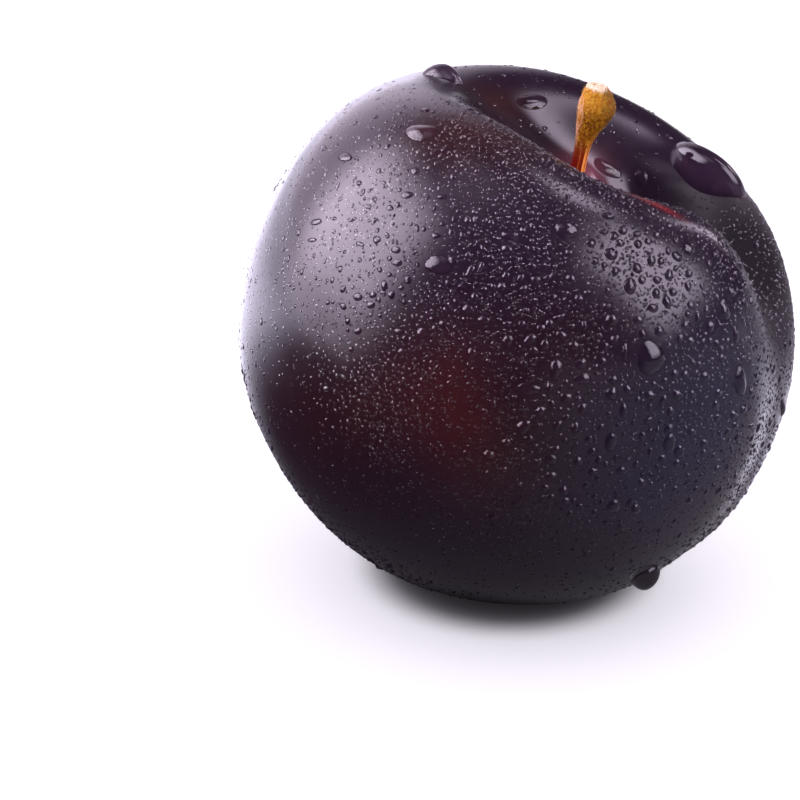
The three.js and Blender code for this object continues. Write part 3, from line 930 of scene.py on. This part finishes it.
# %% How wet each part of the skin is
WET_ZONES = [  # pixel, radius in mm, stretch, tilt, beads, mist, size of the beads, their contact angle
    ((378, 240), 9.0, 1.2, 80, 0.85, 0.20, 0.60, 14),
    ((418, 245), 3.5, 2.0, 85, 0.70, 0.35, 0.60, 17),
    ((262, 290), 5.0, 2.5, 85, 0.18, 0.12, 0.55, 18),
    ((340, 125), 5.0, 2.5, 40, 0.15, 0.12, 0.60, 20),
    ((520, 205), 7.5, 1.7, -15, 0.35, 1.00, 0.65, 62),
    ((420, 310), 5.0, 1.2, 0, 0.45, 1.00, 0.75, 50),
    ((400, 375), 5.5, 1.4, 10, 0.12, 0.80, 0.60, 56),
    ((300, 400), 7.0, 1.5, 70, 0.00, 0.03, 0.50, 40),
    ((466, 400), 4.0, 2.4, 78, 0.00, 0.03, 0.50, 40),
    ((530, 420), 5.5, 2.0, 80, 0.70, 0.55, 0.95, 54),
    ((565, 330), 7.5, 1.3, 70, 0.95, 0.80, 1.00, 58),
    ((655, 278), 4.5, 1.8, -38, 0.95, 1.00, 0.90, 52),
    ((700, 420), 9.0, 1.4, 75, 0.85, 0.80, 0.85, 46),
    ((640, 480), 7.0, 1.3, 20, 0.75, 0.45, 0.95, 60),
    ((590, 560), 7.0, 2.5, 0, 0.02, 0.05, 0.50, 46),
    ((745, 240), 5.5, 1.5, -50, 0.12, 0.90, 0.60, 40),
    ((782, 350), 5.0, 2.0, 80, 0.45, 1.00, 0.60, 44),
    ((655, 204), 1.2, 4.0, -27, 0.00, 0.10, 0.50, 40),
    ((500, 108), 5.0, 2.0, -15, 0.00, 0.03, 0.50, 40),
    ((620, 150), 7.0, 2.0, -30, 0.02, 0.03, 0.50, 40),
]
FAR_SIDE = (0.9, 1.0, 0.75, 50)  # the same four, where its patches are wettest
FAR_SIDE_WEIGHT = 0.02
PATCH_MM, PATCH_CONTRAST = 9.0, 1.6
DRY_BELOW, DRY_BLEND = 7 * MM, 2.5 * MM  # above the table


def wetness(points):
    """Shares of beads and of mist at each point, and the size and contact angle of its beads."""
    patchy = np.array([noise.noise(Vector(p) / (PATCH_MM * MM)) for p in points])
    far = np.tile(FAR_SIDE, (len(points), 1))
    far[:, :2] *= np.clip(0.5 + PATCH_CONTRAST * patchy, 0, 1)[:, None]
    weights, values = [np.full(len(points), FAR_SIDE_WEIGHT)], [far]
    for pixel, radius, stretch, tilt, *here in WET_ZONES:
        weights.append(zone(points, pixel, radius, stretch, tilt))
        values.append(np.tile(here, (len(points), 1)))
    weights = np.stack(weights)
    blended = (weights[..., None] * np.stack(values)).sum(0) / weights.sum(0)[:, None]
    blended[:, :2] *= rise(points[:, 2] - DRY_BELOW, DRY_BLEND)[:, None]
    return blended.T


print("shares of beads and mist at the middle, bead size and contact angle",
      wetness(np.array([on_skin((520, 330))[0]])).ravel().round(2))

# %% [markdown]
# The drops that catch the eye are placed one by one. Each row gives where a drop is seen and how
# wide and high it looks. On a slanting skin it is really longer than it looks, so its outline is
# spread along the view until it lies in the skin, and each corner then follows the skin beneath.


# %% Drops placed one by one
SEEN_DROPS = [  # pixel, width and height as seen in mm, and for some a tilt and a contact angle
    # the shoulder, the crown and the left limb
    (443, 75, 4.7, 1.9, -16, 60), (421, 132, 3.4, 2.0, 0, 30), (345, 157, 1.6, 1.0),
    (282, 182, 1.0, 1.2, 30), (323, 148, 0.8, 0.7), (415, 171, 1.0, 0.8),
    # the large soft highlight
    (407, 195, 1.4, 0.8, 5), (390, 208, 0.8, 0.6), (316, 222, 1.3, 0.7, 10), (312, 240, 1.0, 0.5),
    (359, 183, 0.6, 0.6), (396, 250, 1.0, 0.8), (397, 263, 1.2, 0.7), (358, 297, 1.0, 0.9),
    (371, 305, 0.9, 0.8, 20), (373, 295, 0.8, 0.7), (360, 244, 1.0, 0.45, -20),
    (358, 331, 0.9, 0.8), (399, 332, 1.0, 0.8), (422, 333, 1.3, 1.0), (439, 265, 3.2, 2.0, -12, 28),
    (453, 261, 0.9, 1.2, 40), (470, 271, 0.7, 1.6, -30), (481, 267, 0.6, 1.4, -30),
    (468, 220, 0.7, 0.9, -20), (475, 219, 0.6, 0.9, -20), (442, 197, 1.2, 0.5),
    (436, 236, 1.0, 0.6),
    # the middle
    (510, 235, 1.8, 1.0), (567, 229, 2.7, 2.0), (507, 324, 0.9, 0.7), (484, 320, 1.3, 0.8),
    (508, 341, 1.1, 1.3), (545, 345, 1.0, 1.3), (574, 346, 1.2, 1.0), (556, 370, 1.4, 2.2, -10),
    (582, 379, 1.9, 1.2), (529, 389, 2.4, 1.3, -5), (566, 398, 1.4, 1.0), (624, 411, 1.0, 1.6),
    (651, 358, 3.0, 3.7, 10), (625, 352, 0.7, 2.0),
    # the right highlight
    (591, 243, 1.1, 0.9, -15), (604, 232, 0.9, 0.6), (614, 236, 1.0, 1.0), (623, 230, 1.0, 1.1),
    (620, 243, 1.0, 0.9), (611, 254, 1.5, 1.3, -20), (638, 244, 0.9, 1.0), (648, 241, 0.8, 0.8),
    (651, 259, 1.0, 1.4, 20), (661, 261, 0.8, 0.9), (637, 268, 1.1, 1.1), (669, 275, 0.9, 1.3),
    (657, 280, 0.9, 0.9), (642, 280, 0.9, 0.9), (630, 286, 1.4, 1.8, 10), (688, 286, 0.8, 1.1),
    (673, 292, 0.9, 1.0), (656, 293, 0.9, 1.0), (667, 302, 0.9, 1.5, 15), (653, 308, 1.2, 1.0),
    (691, 305, 0.9, 1.0), (688, 314, 0.8, 0.9), (686, 325, 1.1, 0.9), (698, 317, 0.7, 1.3),
    (707, 310, 0.7, 1.0), (595, 261, 0.9, 0.8), (615, 271, 0.9, 1.0), (604, 265, 0.7, 0.7),
    (689, 248, 1.5, 1.7), (709, 263, 0.7, 1.0), (725, 310, 1.0, 2.4, 12), (736, 334, 0.7, 2.0, 8),
    # the lower right
    (741, 381, 1.4, 3.4, 6), (686, 375, 0.9, 0.9), (706, 377, 1.1, 1.1), (665, 381, 0.8, 0.8),
    (678, 395, 1.3, 1.1), (693, 394, 0.8, 1.0), (671, 412, 0.9, 1.1), (611, 442, 1.3, 2.2, -12),
    (670, 444, 1.5, 2.1), (680, 452, 1.2, 1.5), (663, 459, 1.0, 0.8), (592, 452, 1.1, 0.9),
    (593, 472, 1.1, 0.9), (622, 471, 1.3, 0.9), (643, 436, 1.0, 0.9), (622, 527, 0.9, 0.9),
    (617, 494, 0.8, 0.8), (551, 460, 1.4, 1.1), (529, 439, 1.1, 0.9), (545, 488, 1.0, 0.9),
    (783, 408, 1.0, 2.0),
    # one hangs from the lower edge, and a long one lies on the furrow's shoulder
    (645, 575, 3.7, 1.9, 28, 80), (707, 172, 9.0, 3.6, -30, 90),
    # in the hollow
    (607, 168, 3.6, 1.6, -35, 22), (641, 177, 2.0, 1.5, -60, 26), (532, 102, 3.4, 1.9, 0, 30),
]
print("drops placed by eye", len(SEEN_DROPS))

# %% Setting them on the skin
LONGEST_SPREAD = 1.9  # a drop near the limb isn't drawn out further than this
LEAST_FACING = 0.05  # nor is its skin taken to slant more than this


def tangent_way(image_way, normal):
    """The way in the skin that looks like image_way from the camera, up to the longest spread."""
    way = image_way - TOWARD * (image_way.dot(normal) / max(TOWARD.dot(normal), LEAST_FACING))
    return way * min(1, LONGEST_SPREAD / way.length)


def skin_height(normal, corner):
    """How far the skin is above a drop's own flat plane, at one of the drop's corners."""
    reach = 6 * MM
    hit = skin_bvh.ray_cast(corner + normal * reach, -normal, 2 * reach)[0]
    return 0.0 if hit is None else (hit - corner).dot(normal)


def downhill(normal):
    """The way that water would run on the skin, and how steep it is there."""
    way = Vector((0, 0, -1)) + normal * normal.z
    return (way.normalized() if way.length > 1e-6 else Vector((1, 0, 0))), way.length


print("how steep the skin is at the middle, 0 to 1", round(downhill(on_skin((520, 330))[1])[1], 2))

# %% Making the placed drops
SEEN_SIDES, SEEN_RINGS, SEEN_FOOT = 28, 10, (0.97, 0.7, 0.35)
SMALL, LARGE = 0.4, 1.3  # mm of mean half width
FLATTEST_LARGE = 0.7  # the share of the contact angle round about that a large one has
HIGHEST = 3.0  # mm: no drop stands higher, however steeply it meets the skin
SUNK, FOOT_LIFT = 0.02, 0.015  # mm: the edge is in the skin, and the foot just above it
FOOT_CLEARANCE = 0.008  # mm more for each mm2, so that the wide faces of a large foot clear the skin
SLUMP = 0.35  # how far a large drop on an upright skin leans downhill, against its height
SEEN_WOBBLE = (0.02, 0.07)
random_shapes = np.random.default_rng(7)


def seen_drop(across, down, width, height, tilt=0, contact=None):
    """One drop's corners, and its place and half length for keeping others away."""
    place, normal = on_skin((across, down))
    turn = math.radians(tilt)
    first = tangent_way(RIGHT * math.cos(turn) + UP * math.sin(turn), normal) * width / 2
    second = tangent_way(UP * math.cos(turn) - RIGHT * math.sin(turn), normal) * height / 2
    size = (first.length * second.length) ** 0.5
    large = min(1, max(0, (size - SMALL) / (LARGE - SMALL)))
    here = wetness(np.array([place]))[3][0]
    contact = math.radians(contact or here * mix(1, FLATTEST_LARGE, large))
    high = min(size * math.tan(contact / 2), HIGHEST)
    way, steep = downhill(normal)
    slump = steep * SLUMP * large * high
    wobble = random_shapes.uniform(*SEEN_WOBBLE, (1, 2))
    phase = random_shapes.uniform(0, 2 * math.pi, (1, 2))
    corners = cap_points(SEEN_SIDES, SEEN_RINGS, SEEN_FOOT, np.array([contact]), wobble, phase)[0]
    foot_starts = 1 + SEEN_SIDES * SEEN_RINGS
    foot_lift = FOOT_LIFT + FOOT_CLEARANCE * size ** 2
    made = []
    for i, (x, y, z) in enumerate(corners):
        base = place + (first * x + second * y) * MM
        lift = z * high + (foot_lift if i >= foot_starts else -SUNK)
        lift = lift * MM + skin_height(normal, base)
        made.append(base + normal * lift + way * (slump * z * z * MM))
    return made, place, max(first.length, second.length)


seen_points, taken = [], []
for row in SEEN_DROPS:
    corners, place, half_length = seen_drop(*row)
    seen_points += corners
    taken.append((place, half_length))
water_piece("water_drops_large", seen_points, len(taken), SEEN_SIDES, SEEN_RINGS, len(SEEN_FOOT))

# %% [markdown]
# The rest are scattered: beads about a millimetre across, and a mist of much finer ones between
# them. Both are thrown evenly over the skin, and each drop is then kept or not by a draw against the
# share that its place has. Larger drops are set down first, and a smaller one that would touch them
# is left out, as it would have run into them. All draws are seeded, so they come out the same again.

# %% Scattering them
BEADS_PER_MM2, MIST_PER_MM2 = 0.62, 8.0  # where their share is 1
BEAD_RADIUS, BEAD_SPREAD, BEAD_LARGEST = 0.42, 0.32, 0.85  # mm
MIST_RADIUS, MIST_SPREAD = 0.15, 0.3

draws = np.random.default_rng(11)
quads = np.array([p.vertices[:] for p in skin.data.polygons if len(p.vertices) == 4])
quad_corners = skin_points[quads]
diagonals = np.cross(quad_corners[:, 2] - quad_corners[:, 0], quad_corners[:, 3] - quad_corners[:, 1])
quad_areas = np.linalg.norm(diagonals, axis=1) / 2
skin_area = quad_areas.sum() / MM ** 2


def throw(count):
    """count random places on the skin, evenly by area, with their outward directions."""
    chosen = draws.choice(len(quads), count, p=quad_areas / quad_areas.sum())
    u, v = draws.random((2, count, 1))
    a, b, c, d = np.moveaxis(quad_corners[chosen], 1, 0)
    places = (a * (1 - u) + b * u) * (1 - v) + (d * (1 - u) + c * u) * v
    normals = diagonals[chosen] / (2 * quad_areas[chosen, None])
    return places, normals


bead_places, bead_normals = throw(int(BEADS_PER_MM2 * skin_area))
mist_places, mist_normals = throw(int(MIST_PER_MM2 * skin_area))
places = np.concatenate([bead_places, mist_places])
normals = np.concatenate([bead_normals, mist_normals])
is_bead = np.arange(len(places)) < len(bead_places)
bead_share, mist_share, bead_size, contact_here = wetness(places)
draw = draws.standard_normal(len(places))
radii = np.where(
    is_bead,
    np.minimum(BEAD_RADIUS * bead_size * np.exp(BEAD_SPREAD * draw), BEAD_LARGEST),
    MIST_RADIUS * np.exp(MIST_SPREAD * draw))
wanted = draws.random(len(places)) < np.where(is_bead, bead_share, mist_share)
print("skin area, mm2", round(skin_area), "drops wanted", int(wanted.sum()))

# %% Leaving out those that touch
CLEARANCE, CLEARANCE_OF_SEEN = 1.12, 1.05  # against the sum of both radii, and a placed drop's own

tree_of_places = KDTree(len(places))
for i, p in enumerate(places):
    tree_of_places.insert(p, i)
tree_of_places.balance()
for place, half_length in taken:
    reach = half_length * CLEARANCE_OF_SEEN
    for _, i, distance in tree_of_places.find_range(place, (reach + BEAD_LARGEST) * MM):
        if distance < (reach + radii[i]) * MM:
            wanted[i] = False
kept = []
for i in np.argsort(-radii):
    if wanted[i]:
        kept.append(i)
        for _, j, distance in tree_of_places.find_range(places[i], 2 * CLEARANCE * radii[i] * MM):
            if j != i and distance < CLEARANCE * (radii[i] + radii[j]) * MM:
                wanted[j] = False
kept = np.array(kept)
bead_count = int(is_bead[kept].sum())
print("beads", bead_count, "mist", len(kept) - bead_count)

# %% Making them
BEAD_SIDES, BEAD_RINGS, BEAD_FOOT = 10, 3, (0.92,)
MIST_SIDES, MIST_RINGS, MIST_FOOT = 6, 2, ()
FLATTEST, ROUNDEST = 0.62, 1.0  # width against length
CONTACT_SPREAD = 0.2  # each drop's contact angle differs from its zone's by up to this share
EDGE_SUNK, FOOT_SHARE = 0.008, 0.06  # mm, and how high its foot is against its radius
MOST_WOBBLE = 0.09
FINEST_SHARE = 0.9  # of the cells of the finest mist, where the mist's own share is 1


def scattered_piece(name, chosen, sides, dome_rings, foot_rings):
    """One mesh of all the chosen drops, each turned and shaped at random."""
    count = len(chosen)
    contact_draw = draws.uniform(1 - CONTACT_SPREAD, 1 + CONTACT_SPREAD, count)
    contact = np.radians(contact_here[chosen] * contact_draw)
    ratio = draws.uniform(FLATTEST, ROUNDEST, (count, 1)) ** 0.5
    size = radii[chosen][:, None]
    wobble = draws.uniform(0, MOST_WOBBLE, (count, 2))
    phase = draws.uniform(0, 2 * math.pi, (count, 2))
    caps = cap_points(sides, dome_rings, foot_rings, contact, wobble, phase)
    high = size * np.tan(contact[:, None] / 2)
    foot_starts = 1 + sides * dome_rings
    caps[:, :, 0] *= size / ratio
    caps[:, :, 1] *= size * ratio
    caps[:, :, 2] *= high
    caps[:, :foot_starts, 2] -= EDGE_SUNK
    caps[:, foot_starts:, 2] += FOOT_SHARE * size
    normal = normals[chosen]
    spin = draws.uniform(0, 2 * math.pi, count)[:, None]
    some_way = np.cross(normal, np.where(np.abs(normal[:, 2:]) < 0.9, [[0, 0, 1.0]], [[1.0, 0, 0]]))
    some_way /= np.linalg.norm(some_way, axis=1, keepdims=True)
    first = some_way * np.cos(spin) + np.cross(normal, some_way) * np.sin(spin)
    second = np.cross(normal, first)
    axes = np.stack([first, second, normal], 1)
    points = places[chosen][:, None] + (caps * MM) @ axes
    water_piece(name, points.reshape(-1, 3), count, sides, dome_rings, len(foot_rings))


scattered_piece("water_beads", kept[is_bead[kept]], BEAD_SIDES, BEAD_RINGS, BEAD_FOOT)
mist_kept = kept[~is_bead[kept]]
front = normals[mist_kept] @ np.array(TOWARD) > 0
near_mist = mist_kept[front]
far_mist = mist_kept[~front]
for name, chosen in (
    ("water_mist_near_side_a", near_mist[::2]), ("water_mist_near_side_b", near_mist[1::2]),
    ("water_mist_far_side_a", far_mist[::2]), ("water_mist_far_side_b", far_mist[1::2]),
):
    scattered_piece(name, chosen, MIST_SIDES, MIST_RINGS, MIST_FOOT)
store(skin, "finest_mist", FINEST_SHARE * wetness(skin_points)[1])

# %% The bounds of all that is shown
low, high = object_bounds()
